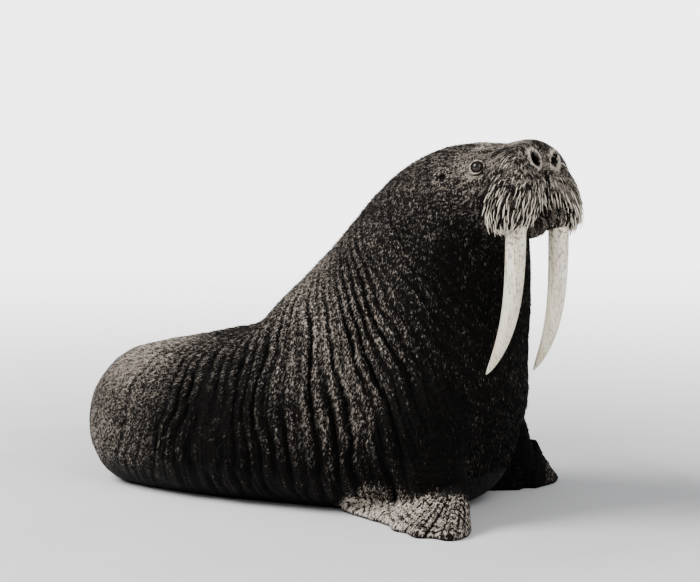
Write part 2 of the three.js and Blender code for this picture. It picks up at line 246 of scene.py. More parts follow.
def arm_place(name):
    shoulder, wrist = STANCE[name]["shoulder"], STANCE[name]["wrist"]
    line = np.array(ARM_LINE)
    line[:, :2] += (shoulder, shoulder, wrist)

    def place(p):
        t = (1 - p[:, 2]) * (len(line) - 1) / 2
        rounding = np.maximum(1 - p[:, 2] ** 2, 1e-9) ** -0.32
        q = along_spline(line, t)
        q[:, 0] += p[:, 0] * rounding * along_spline(ARM_FORE, t)[:, 0]
        q[:, 1] += p[:, 1] * rounding * along_spline(ARM_SIDE, t)[:, 0]
        q[:, 1] *= SIDES[name]
        return q + ORIGIN

    return place


for name in SIDES:
    flesh.append(placed("arm", ball(72, 60), arm_place(name)))

# Flippers
# Each flipper is a broad webbed fan on five digits, thick at the wrist or heel and thin at its
# scalloped edge. The foreflippers point out and back, and the hind ones are swept to the left.

HAND = {
    "digits": (-29, -9, 15, 43, 71),
    "reach": (0.325, 0.330, 0.305, 0.310, 0.495), "start": 0.040, "heel": 0.205,
    "edge": 0.020, "ridge": 0.013, "web": 0.022, "margin": 17,
}
FOOT = {
    "digits": (-27, -14, 0, 14, 27), "reach": (0.560, 0.500, 0.470, 0.500, 0.560),
    "start": 0.060, "heel": 0.135, "edge": 0.014, "ridge": 0.013, "web": 0.044, "margin": 5,
}
MARGIN_SHARE = 0.1
FLIPPERS = {
    "foreflipper_right": ({**HAND, "root": (0.822, 0.280), "heading": 105}, -1),
    "foreflipper_left": ({**HAND, "root": (0.780, 0.420), "heading": 128}, 1),
    "hind_flipper_right": ({**FOOT, "root": (-0.985, 0.150), "heading": 112}, 1),
    "hind_flipper_left": ({**FOOT, "root": (-0.830, 0.235), "heading": 66}, 1),
}


def across_flipper(form, share):
    """Angle, reach and height of the digits' ridge at a share of the way across a flipper."""
    column = (share - MARGIN_SHARE) / (1 - 2 * MARGIN_SHARE) * 4
    digit = np.clip(column, 0, 4)
    i = np.minimum(np.floor(digit), 3).astype(int)
    w = digit - i
    past = (column - digit) * (1 - 2 * MARGIN_SHARE) / (4 * MARGIN_SHARE)
    digits, reach = np.array(form["digits"]), np.array(form["reach"])
    angle = digits[i] + (digits[i + 1] - digits[i]) * w + form["margin"] * past
    between = np.sin(np.pi * w) ** 2
    far = reach[i] + (reach[i + 1] - reach[i]) * w - form["web"] * between
    return (
        np.radians(form["heading"] + angle),
        far * (1 - 0.42 * past**2),
        (1 - between) * (1 - np.abs(past)),
    )


def flipper_height(form, out, ridge):
    toes = form["ridge"] * ridge * band(out, 0.25, 0.6, 0.9, 1)
    return form["edge"] + (form["heel"] - form["edge"]) * (1 - out) ** 1.4 + toes


def flipper_place(form, side):
    def place(p):
        out = p[:, 0] + 0.5
        angle, far, ridge = across_flipper(form, p[:, 1] + 0.5)
        r = form["start"] + (far - form["start"]) * out
        height = flipper_height(form, out, ridge) * np.where(out > 0.999, 0.6, 1)
        x, y = form["root"]
        q = np.empty_like(p)
        q[:, 0] = x + r * np.cos(angle)
        q[:, 1] = side * (y + r * np.sin(angle))
        q[:, 2] = (p[:, 2] + 0.5) * height
        return q + ORIGIN

    return place


def slab(cuts):
    bm = bmesh.new()
    bmesh.ops.create_cube(bm, size=1)
    bmesh.ops.subdivide_edges(bm, edges=bm.edges[:], cuts=cuts, use_grid_fill=True)
    return bm


for form, side in FLIPPERS.values():
    flesh.append(placed("flipper", slab(56), flipper_place(form, side)))

# Tail
# A short flap of hide on the end of the rump, between the hind flippers, where it lies almost
# hidden.

TAIL = {"root": (-1.105, 0.185, 0.190), "tip": (-1.172, 0.252, 0.128), "wide": 0.048, "thick": 0.026}


def tail_place(p):
    root, tip = np.array(TAIL["root"]), np.array(TAIL["tip"])
    aim = (tip - root) / np.linalg.norm(tip - root)
    across = np.cross(aim, (0, 0, 1))
    across /= np.linalg.norm(across)
    other = np.cross(across, aim)
    q = root + (tip - root) * ((1 - p[:, 2]) / 2)[:, None]
    q = q + across * (p[:, 0] * TAIL["wide"])[:, None] + other * (p[:, 1] * TAIL["thick"])[:, None]
    return q + ORIGIN


flesh.append(placed("tail", ball(24, 16), tail_place))

# Hide
# All the flesh is fused into one skin, smoothed where limbs leave the trunk, and then creased and
# wrinkled as the thick hide of an old bull is.

VOXEL = 0.0055
DRAPE_VOXEL = 0.016
HIDE_TRIANGLES = 192000
rng = np.random.default_rng(7)

# Where limbs leave the trunk, webs of skin fill the hollows: each place and how far it reaches
WEBS = (
    ((0.590, -0.370, 0.400), (0.36, 0.34, 0.36)),
    ((0.495, 0.370, 0.400), (0.36, 0.34, 0.36)),
    ((-0.950, 0.130, 0.120), (0.24, 0.26, 0.16)),
    ((-0.800, 0.260, 0.120), (0.24, 0.26, 0.16)),
)
WEB_DEPTH = 0.060


def shown(name, data):
    made = bpy.data.objects.new(name, data)
    bpy.context.scene.collection.objects.link(made)
    return made


def joined_object(name, meshes):
    bm = bmesh.new()
    for mesh in meshes:
        bm.from_mesh(mesh)
        bpy.data.meshes.remove(mesh)
    mesh = bpy.data.meshes.new(name)
    bm.to_mesh(mesh)
    bm.free()
    return shown(name, mesh)


def apply_modifiers(made):
    graph = bpy.context.evaluated_depsgraph_get()
    mesh = bpy.data.meshes.new_from_object(made.evaluated_get(graph))
    old = made.data
    made.modifiers.clear()
    made.data = mesh
    bpy.data.meshes.remove(old)


def fused(made, voxel):
    remesh = made.modifiers.new("fuse", "REMESH")
    remesh.mode = "VOXEL"
    remesh.voxel_size = voxel
    apply_modifiers(made)


def smoothed(values, mesh, rounds, share=0.5):
    """Values at the vertices of a mesh, each drawn towards the mean of its neighbours."""
    values = values.copy()
    pairs = np.empty(len(mesh.edges) * 2, np.int32)
    mesh.edges.foreach_get("vertices", pairs)
    a, b = pairs.reshape(-1, 2).T
    near = np.maximum(np.bincount(pairs, minlength=len(mesh.vertices)), 1)
    for _ in range(rounds):
        for k in range(values.shape[1]):
            v = values[:, k]
            total = np.bincount(a, v[b], len(v)) + np.bincount(b, v[a], len(v))
            v += (total / near - v) * share
    return values


def shape_to(mesh, points):
    mesh.vertices.foreach_set("co", points.astype(np.float32).ravel())
    mesh.update()


hide = joined_object("hide", flesh)
fused(hide, VOXEL)
co = smoothed(coordinates(hide.data), hide.data, 6)
shape_to(hide.data, co)


def normals_of(mesh):
    found = np.empty(len(mesh.vertices) * 3, np.float32)
    mesh.vertex_normals.foreach_get("vector", found)
    return found.reshape(-1, 3).astype(float)


def surface_of(mesh):
    bm = bmesh.new()
    bm.from_mesh(mesh)
    surface = BVHTree.FromBMesh(bm)
    bm.free()
    return surface


drape = shown("drape", hide.data.copy())
fused(drape, DRAPE_VOXEL)
for push in (WEB_DEPTH, -WEB_DEPTH):
    points = smoothed(coordinates(drape.data), drape.data, 6)
    shape_to(drape.data, points)
    shape_to(drape.data, points + push * normals_of(drape.data))
    fused(drape, DRAPE_VOXEL)
shape_to(drape.data, smoothed(coordinates(drape.data), drape.data, 14))
surface = surface_of(drape.data)
bpy.data.objects.remove(drape)
for at, reach in WEBS:
    away = np.linalg.norm((co - ORIGIN - at) / reach, axis=1)
    for i in np.nonzero(away < 1)[0]:
        found = surface.find_nearest(Vector(co[i]))[0]
        co[i] += (np.array(found) - co[i]) * (1 - ramp(away[i], 0.6, 1))
co = smoothed(co, hide.data, 3)
shape_to(hide.data, co)

# The pads run into the snout without an edge, and the head is refined for its lids and nostrils


def refine(mesh, chosen):
    bm = bmesh.new()
    bm.from_mesh(mesh)
    edges = [e for e in bm.edges if chosen[e.verts[0].index] and chosen[e.verts[1].index]]
    bmesh.ops.subdivide_edges(bm, edges=edges, cuts=1, use_grid_fill=True)
    bm.to_mesh(mesh)
    bm.free()


def on_straight_head(points):
    return turned(points - ORIGIN, np.full(len(points), float(LAST)), undo=True)


EYE = {"at": EYE_AT, "look": (0.42, 0.86, 0.20), "splay": 0, "radius": 0.023}
NOSTRIL = {"at": (1.094, 0.043, 1.278), "look": (0.93, 0.28, 0.24), "splay": 28}
SNOUT_ROUNDS = 60
SNOUT_FULLER = 0.005


def near_openings(points, eye_reach, nostril_reach):
    q = on_straight_head(points)
    q[:, 1] = np.abs(q[:, 1])
    by_eye = np.linalg.norm(q - EYE["at"], axis=1) < eye_reach
    return by_eye | (np.linalg.norm(q - NOSTRIL["at"], axis=1) < nostril_reach)


q = on_straight_head(co)
above_pads = band(q[:, 2], 1.185, 1.225, 1.300, 1.330) * ramp(q[:, 0], 0.93, 0.99)
rounder = smoothed(co, hide.data, SNOUT_ROUNDS) - co
co += (rounder + SNOUT_FULLER * normals_of(hide.data)) * above_pads[:, None]
shape_to(hide.data, co)
refine(hide.data, near_openings(co, 0.085, 0.075))
refine(hide.data, near_openings(coordinates(hide.data), 0.050, 0.042))
co = coordinates(hide.data)
softer = smoothed(co, hide.data, 8)
co += (softer - co) * near_openings(co, 0.090, 0.080)[:, None]
shape_to(hide.data, co)


def trunk_places(points):
    """Section number, angle from the back and distance outside the trunk, for any points."""
    points = points - ORIGIN
    low = np.zeros(len(points))
    high = np.full(len(points), float(LAST))
    for _ in range(20):
        s = (low + high) / 2
        back, belly, half = section_at(s)
        q = turned(points, s, undo=True)
        rise, arm = back - belly, q[:, ::2] - belly
        ahead = rise[:, 1] * arm[:, 0] - rise[:, 0] * arm[:, 1] > 0
        low, high = np.where(ahead, s, low), np.where(ahead, high, s)
    height = np.linalg.norm(rise, axis=1)
    level = widest_level(s)
    up = (arm * rise).sum(1) / height**2 - level
    reach = np.where(up > 0, 1 - level, level)
    v, w = up / reach, q[:, 1] / half
    return s, np.arctan2(w, v), (np.hypot(v, w) - 1) * np.minimum(half, reach * height)


def cloud(points, size, seed=0):
    """Smooth noise from -1 to 1 with lumps of the given size, at each point."""
    place = points / size
    cell = np.floor(place).astype(np.int64)
    w = place - cell
    w = w * w * (3 - 2 * w)
    total = np.zeros(len(points))
    for corner in np.ndindex(2, 2, 2):
        key = ((cell + corner) * (73856093, 19349663, 83492791)).sum(1) + seed * 7919
        key = (key ^ (key >> 13)) * 1274126177 & 0xFFFFFFFF
        value = (key ^ (key >> 15)) % 2048 / 1023.5 - 1
        total += value * np.where(corner, w, 1 - w).prod(1)
    return total


section, angle, outside = trunk_places(co)
limb = ramp(outside, 0.004, 0.030)
near_head = ramp(section, NUMBER["nape"], NUMBER["eyes"])
steps = np.linspace(0, LAST, 400)
flank = skin_point(steps, np.full(400, np.pi / 2))
strides = np.linalg.norm(np.diff(flank, axis=0), axis=1)
flank_length = np.concatenate(([0], np.cumsum(strides)))
along = np.interp(section, steps, flank_length)
above_flank = co[:, 2] - np.interp(section, steps, flank[:, 2])
side_angle = np.abs(angle)


# Creases of the hide
# Deep folds run across the body from the back to the belly, with finer ones between them, and the
# neck and the joints carry a net of wrinkles. Each fold fades in and out along its length.

DEEP = {"apart": 0.060, "depth": 0.018, "narrow": 0.56, "wander": 0.040}
SHALLOW = {"apart": 0.023, "depth": 0.0050, "narrow": 0.55, "wander": 0.014}
CREASED = {
    "rump pole": 0.05, "rump": 0.07, "small of the back": 0.14, "loin": 0.45, "belly": 0.95,
    "bend of the back": 1.0, "withers": 1.0, "shoulder": 0.85, "breast": 0.42, "throat base": 0.18,
    "ears": 0.14, "eyes": 0.0,
}
# How far the folds lean forward at the top, against the sections, so that they hang upright
LEAN = {
    "hips": 0.0, "loin": 0.45, "belly": 0.28, "bend of the back": 0.30, "ribs": 0.46,
    "withers": 0.40, "shoulder": 0.26, "throat": 0.0,
}


def by_section(values):
    """A value at each vertex of the hide, from the values that some sections have."""
    return np.interp(section, [NUMBER[name] for name in values], list(values.values()))


def folds(form, across, down, seed):
    """Valleys below 0 and ridges just above 0, at distances across and along each fold."""
    drift = form["wander"] * (cloud(co, 0.21, seed) + 0.35 * cloud(co, 0.07, seed + 1))
    place = (across + drift) / form["apart"]
    line = np.floor(place)
    off = np.abs(place - line - 0.5) * 2
    run = np.stack((line * 3.17, down, np.full(len(line), 4.4 * seed)), -1)
    strength = ramp(cloud(run, 1.0), -0.55, 0.35)
    valley = 1 - ramp(off, 0, form["narrow"])
    return (0.28 * ramp(off, 0.3, 1) - valley * strength) * form["depth"]


crossing = by_section(CREASED) * (1 - 0.9 * ramp(outside, 0.05, 0.13))
crossing *= 0.72 + 0.4 * cloud(co, 0.30, 21)
crossing *= 0.45 + 0.55 * ramp(side_angle, 0.35, 1.0)
crossing *= 1 - 0.8 * ramp(side_angle, 2.1, 2.8)
upright = along - by_section(LEAN) * above_flank
relief = crossing * folds(DEEP, upright, side_angle * 1.7, 1)
relief += np.minimum(crossing * 1.3, 1) * folds(SHALLOW, upright, side_angle * 4.0, 3)

around = side_angle * 0.42
net = by_section({"ribs": 0.0, "breast": 0.7, "nape": 1.0, "crown": 0.45, "cheeks": 0.0})
NET = {"apart": 0.030, "depth": 0.0026, "narrow": 0.5, "wander": 0.012}
relief += net * (1 - limb) * folds(NET, along + 0.8 * around, along * 9, 5)
relief += net * (1 - limb) * folds(NET, along - 0.8 * around, along * 9, 7)

WRIST = {"apart": 0.024, "depth": 0.0024, "narrow": 0.55, "wander": 0.014}
on_arm = limb * ramp(co[:, 0] - ORIGIN[0], 0.2, 0.4) * (1 - near_head)
on_arm *= 1 - ramp(co[:, 2], 0.18, 0.36)
relief += on_arm * folds(WRIST, co[:, 2], np.arctan2(co[:, 1], co[:, 0] - 0.7) * 2, 9)
broad = (1 - 0.8 * near_head) * (0.006 * cloud(co, 0.13, 11) + 0.0022 * cloud(co, 0.045, 12))
off_floor = ramp(co[:, 2], 0.0, 0.09)
broad *= off_floor
relief = relief * off_floor + broad

# The webs of the flippers are wrinkled along the digits, and across them
WEBBING = {"apart": 0.024, "depth": 0.0040, "narrow": 0.45, "wander": 0.012}


def on_flipper(name, points):
    """How far out points are, in metres and as a share of the reach, and at what angle."""
    form, side = FLIPPERS[name]
    x, y = (points[:, :2] - ORIGIN[:2] - np.array(form["root"]) * (1, side)).T
    out, turn = np.hypot(x, y), np.degrees(np.arctan2(y * side, x)) - form["heading"]
    turn = (turn + 180) % 360 - 180
    return out, out / np.interp(turn, form["digits"], form["reach"]), turn


webs, web_lines = np.zeros((2, len(co)))
for name in FLIPPERS:
    out, far, turn = on_flipper(name, co)
    on_web = band(turn, -62, -48, 84, 92) * (1 - ramp(co[:, 2], 0.10, 0.15))
    on_web *= band(far, 0.25, 0.45, 0.98, 1.05) * ramp(co[:, 2], 0.004, 0.012)
    creased = folds(WEBBING, np.radians(turn) * 0.3, out * 12, 17)
    creased += 0.7 * folds(WEBBING, out, np.radians(turn) * 4, 19)
    relief += on_web * creased
    webs += on_web
    # How deep the web's wrinkles are, for painted shade in them
    web_lines += on_web * np.clip(-creased / WEBBING["depth"], 0, 1)

# Eyelids, nostrils and the folds of the face
# The lids are thick rolls of skin round each eye, with fans of wrinkles below and behind it. The
# nostrils are slits with pale rims that slope down and out.

LIDS = {"open": 0.0185, "roll": 0.0270, "width": 0.0075, "proud": 0.0065}
SLIT = {"half_length": 0.0250, "half_width": 0.0175, "deep": 0.030, "rim": 0.0055}
EYE_FOLD = {"apart": 0.0085, "depth": 0.0022}
CLEFT = {"width": 0.007, "deep": 0.012}


def bell(x, middle, width):
    return np.exp(-(((x - middle) / width) ** 2))


def facing(form, side):
    """The directions out, up and ahead of an opening on the straight head."""
    ahead = Vector(form["look"]).normalized()
    out = Vector((0, 0, 1)).cross(ahead).normalized()
    up = ahead.cross(out)
    lean = -math.radians(form["splay"])
    rows = np.array((
        out * math.cos(lean) + up * math.sin(lean),
        up * math.cos(lean) - out * math.sin(lean),
        ahead,
    ))
    return rows * (1, side, 1)


def local_to(form, side, straight):
    at = np.array(form["at"]) * (1, side, 1)
    return (straight - at) @ facing(form, side).T


straight = on_straight_head(co)
head_push = np.zeros_like(straight)
eye_fold, lid_light_and_shade, nostril_rim, ear_rim, hollow = np.zeros((5, len(co)))
for side in SIDES.values():
    q = local_to(EYE, side, straight)
    away = np.hypot(q[:, 0], q[:, 1] * 1.12)
    near = (away < 0.07) & (q[:, 2] > -0.05)
    ball_front = np.sqrt(np.maximum(EYE["radius"] ** 2 - away**2, 0))
    roll = LIDS["proud"] * bell(away, LIDS["roll"], LIDS["width"])
    inside = 1 - ramp(away, LIDS["open"] - 0.001, LIDS["open"] + 0.0035)
    sunk = ball_front - 0.007 - q[:, 2]
    hood = ball_front + 0.0035 - q[:, 2]
    edge = band(away, LIDS["open"] - 0.001, LIDS["open"] + 0.002, 0.021, 0.034)
    push = np.where(inside > 0.5, sunk, hood * edge + roll * ramp(away, 0.016, 0.022))
    below = ramp(-q[:, 1] + 0.4 * np.abs(q[:, 0]), -0.004, 0.014)
    fold = np.sin((away - 0.031) / EYE_FOLD["apart"] * 2 * np.pi)
    fan = below * band(away, 0.028, 0.036, 0.046, 0.070)
    push = np.where(near, push + EYE_FOLD["depth"] * fold * fan, 0)
    head_push += push[:, None] * facing(EYE, side)[2]
    eye_fold += np.where(near, fan, 0)
    # Painted light and shade round each eye: a pale ring on the lid roll as a painted highlight, and
    # dark rings at the lid margin and outside the roll as painted shadow
    rims = bell(away, 0.0275, 0.0024) - bell(away, 0.0205, 0.0040)
    rims -= 0.5 * bell(away, 0.0340, 0.0030)
    lid_light_and_shade += np.where(near, rims, 0)
    hollow += np.where(near, inside, 0)

    q = local_to(NOSTRIL, side, straight)
    oval = np.hypot(q[:, 0] / SLIT["half_width"], q[:, 1] / SLIT["half_length"])
    near = (oval < 5) & (np.abs(q[:, 2]) < 0.06)
    slit = 1 - ramp(oval, 0.55, 1.05)
    rim = bell(oval, 1.40, 0.28)
    push = np.where(near, SLIT["rim"] * rim - SLIT["deep"] * slit, 0)
    head_push += push[:, None] * facing(NOSTRIL, side)[2]
    nostril_rim += np.where(near, rim, 0)
    hollow += np.where(near, slit, 0)

EAR = {"at": (0.792, 0.188, 1.225), "wide": 0.015, "deep": 0.020, "rim": 0.0040}
for side in SIDES.values():
    off = straight - np.array(EAR["at"]) * (1, side, 1)
    away = np.linalg.norm(off, axis=1) / EAR["wide"]
    pit = 1 - ramp(away, 0.3, 1.2)
    rim = bell(away, 1.9, 0.7)
    push = EAR["rim"] * rim - EAR["deep"] * pit
    head_push[:, 1] += side * np.where(away < 5, push, 0)
    ear_rim += rim
    hollow += pit

BROW = {"apart": 0.013, "depth": 0.0020, "narrow": 0.7, "wander": 0.006}
on_brow = band(section, 15.2, 16.0, 18.4, 19.4) * (1 - ramp(side_angle, 0.5, 1.1))
relief += on_brow * folds(BROW, along, side_angle * 2, 13)
SNOUT = {"apart": 0.010, "depth": 0.0014, "narrow": 0.7, "wander": 0.005}
on_snout = band(section, 18.4, 19.2, 20.6, 21.4)
relief += on_snout * folds(SNOUT, straight[:, 1], along * 9, 15) * (1 - ramp(side_angle, 0.9, 1.6))

pad_out = np.full(len(co), 9.0)
for side in SIDES.values():
    off = straight * (1, side, 1) - PAD["at"]
    off[:, 1] += PAD["splay"] * off[:, 2]
    off = np.abs(off / PAD["size"]) ** (2 / PAD["boxy"])
    pad_out = np.minimum(pad_out, off.sum(1) ** (PAD["boxy"] / 2))
on_pad = 1 - ramp(pad_out, 1.02, 1.12)
off = (straight - CHIN["at"]) / CHIN["size"]
on_chin = (1 - ramp(np.linalg.norm(off, axis=1), 1.0, 1.2)) * (1 - on_pad)
cleft = bell(straight[:, 1], 0, CLEFT["width"]) * on_pad * (1 - ramp(straight[:, 2], 1.22, 1.27))
head_push[:, 0] -= CLEFT["deep"] * cleft
hollow += cleft

normals = normals_of(hide.data)
opened = np.clip(hollow, 0, 1)
relief *= 1 - opened
shaped = co + normals * relief[:, None]
shaped += on_head(straight + head_push) - on_head(straight)
shaped[:, 2] = np.maximum(shaped[:, 2], FLOOR_GAP)
shape_to(hide.data, shaped)


def palm(points):
    """From 0 to 1 over the bare back of the right foreflipper, where painted light makes it pale."""
    out, far, turn = on_flipper("foreflipper_right", points)
    fan = band(turn, -56, -44, 84, 92)
    top = 0.07 + 0.13 * ramp(-turn, -60, 20)
    low = 1 - ramp(points[:, 2] / top, 0.75, 1.05)
    return fan * low * band(far, 0.30, 0.52, 1.03, 1.08)


def smooth_faces(mesh):
    for polygon in mesh.polygons:
        polygon.use_smooth = True


def note(mesh, name, values):
    mesh.attributes.new(name, "FLOAT", "POINT").data.foreach_set("value", values.astype(np.float32))


# Tones of the hide: pale on the face and the flippers, almost black on the breast and the arms,
# much of it painted light and shade, as each patch below says
TONES = {
    "rump pole": 0.25, "hips": 0.42, "small of the back": 0.36, "loin": 0.04, "belly": -0.46,
    "bend of the back": -0.54, "ribs": -0.20, "withers": 0.14, "shoulder": 0.0,
    "breast": -0.08, "throat base": 0.0, "nape": 0.14, "ears": 0.14, "crown": 0.34,
    "eyes": 0.10, "snout pole": 0.30,
}
off_trunk = limb * (1 - near_head)
head_top = by_section({"ears": 0, "crown": 1, "cheeks": 1, "nose": 0})
hind_part = 1 - ramp(section, 8, 10)
palm_here = palm(co)
PATCHES = {
    # Painted shade: the arms and the other limbs darker, as the arms lie in shade under the chest
    "limbs": (-0.45, off_trunk),
    # The webs of all flippers paler; part of this lift is painted light, for the left foreflipper
    # that lies in shade
    "webs": (0.75, webs),
    "top of the head": (0.32, (1 - ramp(side_angle, 0.30, 0.8)) * head_top),
    "top of the back": (0.05, (1 - ramp(side_angle, 0.35, 1.1)) * band(section, 1, 3, 17, 19)),
    "loin from above": (0.42, (1 - ramp(side_angle, 0.6, 1.35)) * ramp(section, 3, 5) * hind_part),
    # Painted shade: the chest and the neck darker low down and in front, where they are turned from
    # the lamp
    "painted shade low on the chest": (-0.42, ramp(side_angle, 1.45, 2.2) * band(section, 8, 10, 18, 20)),
    # Painted shade: the hind body darker low on its sides, where it turns under towards the floor
    "painted shade low on the flank": (-0.80, ramp(side_angle, 1.7, 2.5) * hind_part * (1 - limb)),
    "nostril rims": (1.0, np.clip(nostril_rim, 0, 1)),
    "folds by the eyes": (0.30, eye_fold),
    "painted highlight and shadow round the lids": (2.0, lid_light_and_shade),
    "ear rims": (0.40, ear_rim),
    # Painted shade: the pad skin dark low down, between and under the hanging bristles
    "painted shade low on the pads": (-0.45, on_pad * (1 - ramp(straight[:, 2], 1.13, 1.21))),
    "chin": (-0.15, on_chin),
    # Painted light: the back of the right foreflipper made pale where it lies in the light
    "back of the right foreflipper": (0.66, palm_here),
    # Painted shade: the valleys of the web wrinkles dark on the pale right foreflipper
    "painted shade in the wrinkles of its webs": (-1.1, palm_here * web_lines),
    # Painted shade: the openings of the eyes, the nostrils, the ear pits and the cleft between the
    # pads dark
    "openings": (-1.6, opened),
}
tone = by_section(TONES) * (1 - off_trunk)
for change, where in PATCHES.values():
    tone += change * where
note(hide.data, "tone", tone)
# Depth of the folds, which the colour uses for painted shade in their valleys
note(hide.data, "relief", np.clip((relief - 0.8 * broad) / 0.010, -1.5, 1))
note(hide.data, "bare", opened)

guard = hide.vertex_groups.new(name="guard")
guard.add(np.nonzero(~near_openings(co, 0.046, 0.038))[0].tolist(), 1.0, "REPLACE")

decimate = hide.modifiers.new("thin out", "DECIMATE")
decimate.ratio = HIDE_TRIANGLES / (2 * len(hide.data.polygons))
decimate.use_collapse_triangulate = True
decimate.vertex_group = "guard"
decimate.vertex_group_factor = 1
apply_modifiers(hide)
smooth_faces(hide.data)

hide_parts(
    "hindquarters", "abdomen", "chest", "neck", "head", "lower_jaw", "muzzle_pad_right",
    "muzzle_pad_left", "forearm_right", "forearm_left", "foreflipper_right", "foreflipper_left",
    "hind_flipper_right", "hind_flipper_left", "tail",
)
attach(hide, "root")


def fed(tree, made, inputs):
    """A node with its inputs given as numbers or linked to outputs."""
    for key, value in inputs.items():
        if isinstance(value, bpy.types.NodeSocket):
            tree.links.new(value, made.inputs[key])
        else:
            made.inputs[key].default_value = value
    return made


def node(tree, kind, inputs, **settings):
    made = tree.nodes.new("ShaderNode" + kind)
    for name, value in settings.items():
        setattr(made, name, value)
    return fed(tree, made, inputs)


def math_node(tree, operation, *values):
    return node(tree, "Math", dict(enumerate(values)), operation=operation).outputs[0]


def blended(tree, share, first, second):
    inputs = {0: share, 6: first, 7: second}
    return node(tree, "Mix", inputs, data_type="RGBA").outputs[2]


def noise(tree, at, scale, detail):
    return node(tree, "TexNoise", {"Vector": at, "Scale": scale, "Detail": detail}).outputs["Fac"]


def noted_at(tree, name):
    return node(tree, "Attribute", {}, attribute_name=name).outputs["Fac"]


def stretch(tree, value, low, high, to_low=0.0, to_high=1.0):
    inputs = {"Value": value, "From Min": low, "From Max": high, "To Min": to_low, "To Max": to_high}
    return node(tree, "MapRange", inputs).outputs[0]


def group(name, inputs, outputs):
    tree = bpy.data.node_groups.new(name, "ShaderNodeTree")
    for label, kind in inputs.items():
        tree.interface.new_socket(label, in_out="INPUT", socket_type="NodeSocket" + kind)
    for label, kind in outputs.items():
        tree.interface.new_socket(label, in_out="OUTPUT", socket_type="NodeSocket" + kind)
    return tree, tree.nodes.new("NodeGroupInput"), tree.nodes.new("NodeGroupOutput")


def use(tree, effect, inputs):
    return node(tree, "Group", inputs, node_tree=effect).outputs


def material(name):
    """A new material with its tree, its shader and the places on its object."""
    made = bpy.data.materials.new(name)
    made.use_nodes = True
    tree = made.node_tree
    return made, tree, tree.nodes["Principled BSDF"], node(tree, "TexCoord", {}).outputs["Object"]


def coloured(tree, shader, colour, uneven, low, high):
    """A shader with its colour, and with its roughness between two values, as an uneven one says."""
    tree.links.new(colour, shader.inputs["Base Color"])
    tree.links.new(stretch(tree, uneven, 0.3, 0.7, low, high), shader.inputs["Roughness"])


# Grain of the hide: cells between fine cracks, and short strokes that run down the body
grain, taken, given = group(
    "hide grain", {"Place": "Vector", "Cell": "Float"}, {"Height": "Float", "Stroke": "Float"}
)
WARP = 0.006
STROKES = (185.0, 185.0, 85.0)
scale = math_node(grain, "DIVIDE", 1.0, taken.outputs["Cell"])
warp = node(grain, "TexNoise", {"Vector": taken.outputs["Place"], "Scale": 60.0, "Detail": 2.0})
bent = node(grain, "VectorMath", {0: warp.outputs["Color"], "Scale": WARP}, operation="SCALE")
place = node(grain, "VectorMath", {0: taken.outputs["Place"], 1: bent.outputs[0]}, operation="ADD")
cracks = node(
    grain, "TexVoronoi", {"Vector": place.outputs[0], "Scale": scale}, feature="DISTANCE_TO_EDGE"
)
cells = stretch(grain, cracks.outputs["Distance"], 0.0, 0.22)
fuzz = noise(grain, place.outputs[0], 420.0, 3.0)
height = math_node(grain, "MULTIPLY_ADD", fuzz, 0.5, cells)
grain.links.new(height, given.inputs["Height"])
thin = node(grain, "VectorMath", {0: place.outputs[0], 1: STROKES}, operation="MULTIPLY")
grain.links.new(noise(grain, thin.outputs[0], 1.0, 2.0), given.inputs["Stroke"])

# Colour of the hide: a dark ground with pale flecks of hair, more of them the higher the tone, and
# the tone lowered in the valleys of the folds as painted shade and raised a little on their ridges,
# as wear and painted highlight
umber, taken, given = group(
    "hide colour", {"Tone": "Float", "Relief": "Float", "Stroke": "Float", "Place": "Vector"},
    {"Color": "Color"},
)
patchy = noise(umber, taken.outputs["Place"], 7.0, 5.0)
level = math_node(umber, "MULTIPLY_ADD", patchy, 0.5, -0.25)
level = math_node(umber, "ADD", level, taken.outputs["Tone"])
# Painted shade in the valleys of the folds, and a little paler on their ridges
level = math_node(umber, "MULTIPLY_ADD", taken.outputs["Relief"], 0.64, level)
edge = math_node(umber, "MULTIPLY_ADD", level, 0.18, -0.098)
fleck = stretch(umber, math_node(umber, "ADD", taken.outputs["Stroke"], edge), 0.47, 0.56)
GROUND = {
    0.05: (0.0026, 0.0022, 0.0019), 0.35: (0.0052, 0.0044, 0.0038),
    0.60: (0.011, 0.0093, 0.0080), 0.85: (0.032, 0.027, 0.023),
}
FLECK = {
    0.05: (0.085, 0.073, 0.063), 0.35: (0.21, 0.18, 0.154),
    0.60: (0.33, 0.284, 0.243), 0.85: (0.54, 0.475, 0.405),
}
at = math_node(umber, "MULTIPLY_ADD", level, 0.5, 0.35)


def shades_at(tree, at, stops):
    made = node(tree, "ValToRGB", {"Fac": at})
    points = made.color_ramp.elements
    points.remove(points[1])
    for i, (stop, shade) in enumerate(stops.items()):
        point = points.new(stop) if i else points[0]
        point.position, point.color = stop, (*shade, 1)
    return made.outputs["Color"]


ground = shades_at(umber, at, GROUND)
pale = shades_at(umber, at, FLECK)
umber.links.new(blended(umber, fleck, ground, pale), given.inputs["Color"])


hide_look, tree, shader, here = material("walrus hide")
skin_grain = use(tree, grain, {"Place": here, "Cell": 0.011})
colour = use(tree, umber, {
    "Tone": noted_at(tree, "tone"), "Relief": noted_at(tree, "relief"),
    "Stroke": skin_grain["Stroke"], "Place": here,
})
coloured(tree, shader, colour["Color"], noise(tree, here, 14.0, 4.0), 0.58, 0.80)
rough = node(tree, "TexNoise", {"Vector": here, "Scale": 95.0, "Detail": 5.0, "Roughness": 0.62})
height = math_node(tree, "MULTIPLY_ADD", skin_grain["Height"], 0.55, rough.outputs["Fac"])
height = math_node(tree, "MULTIPLY_ADD", skin_grain["Stroke"], 0.5, height)
bump = node(tree, "Bump", {"Height": height, "Strength": 0.75, "Distance": 0.0035})
tree.links.new(bump.outputs["Normal"], shader.inputs["Normal"])
shader.inputs["Specular IOR Level"].default_value = 0.05
hide.data.materials.clear()
hide.data.materials.append(hide_look)


# Joined copies of one small closed shape, for bristles, claws and hair


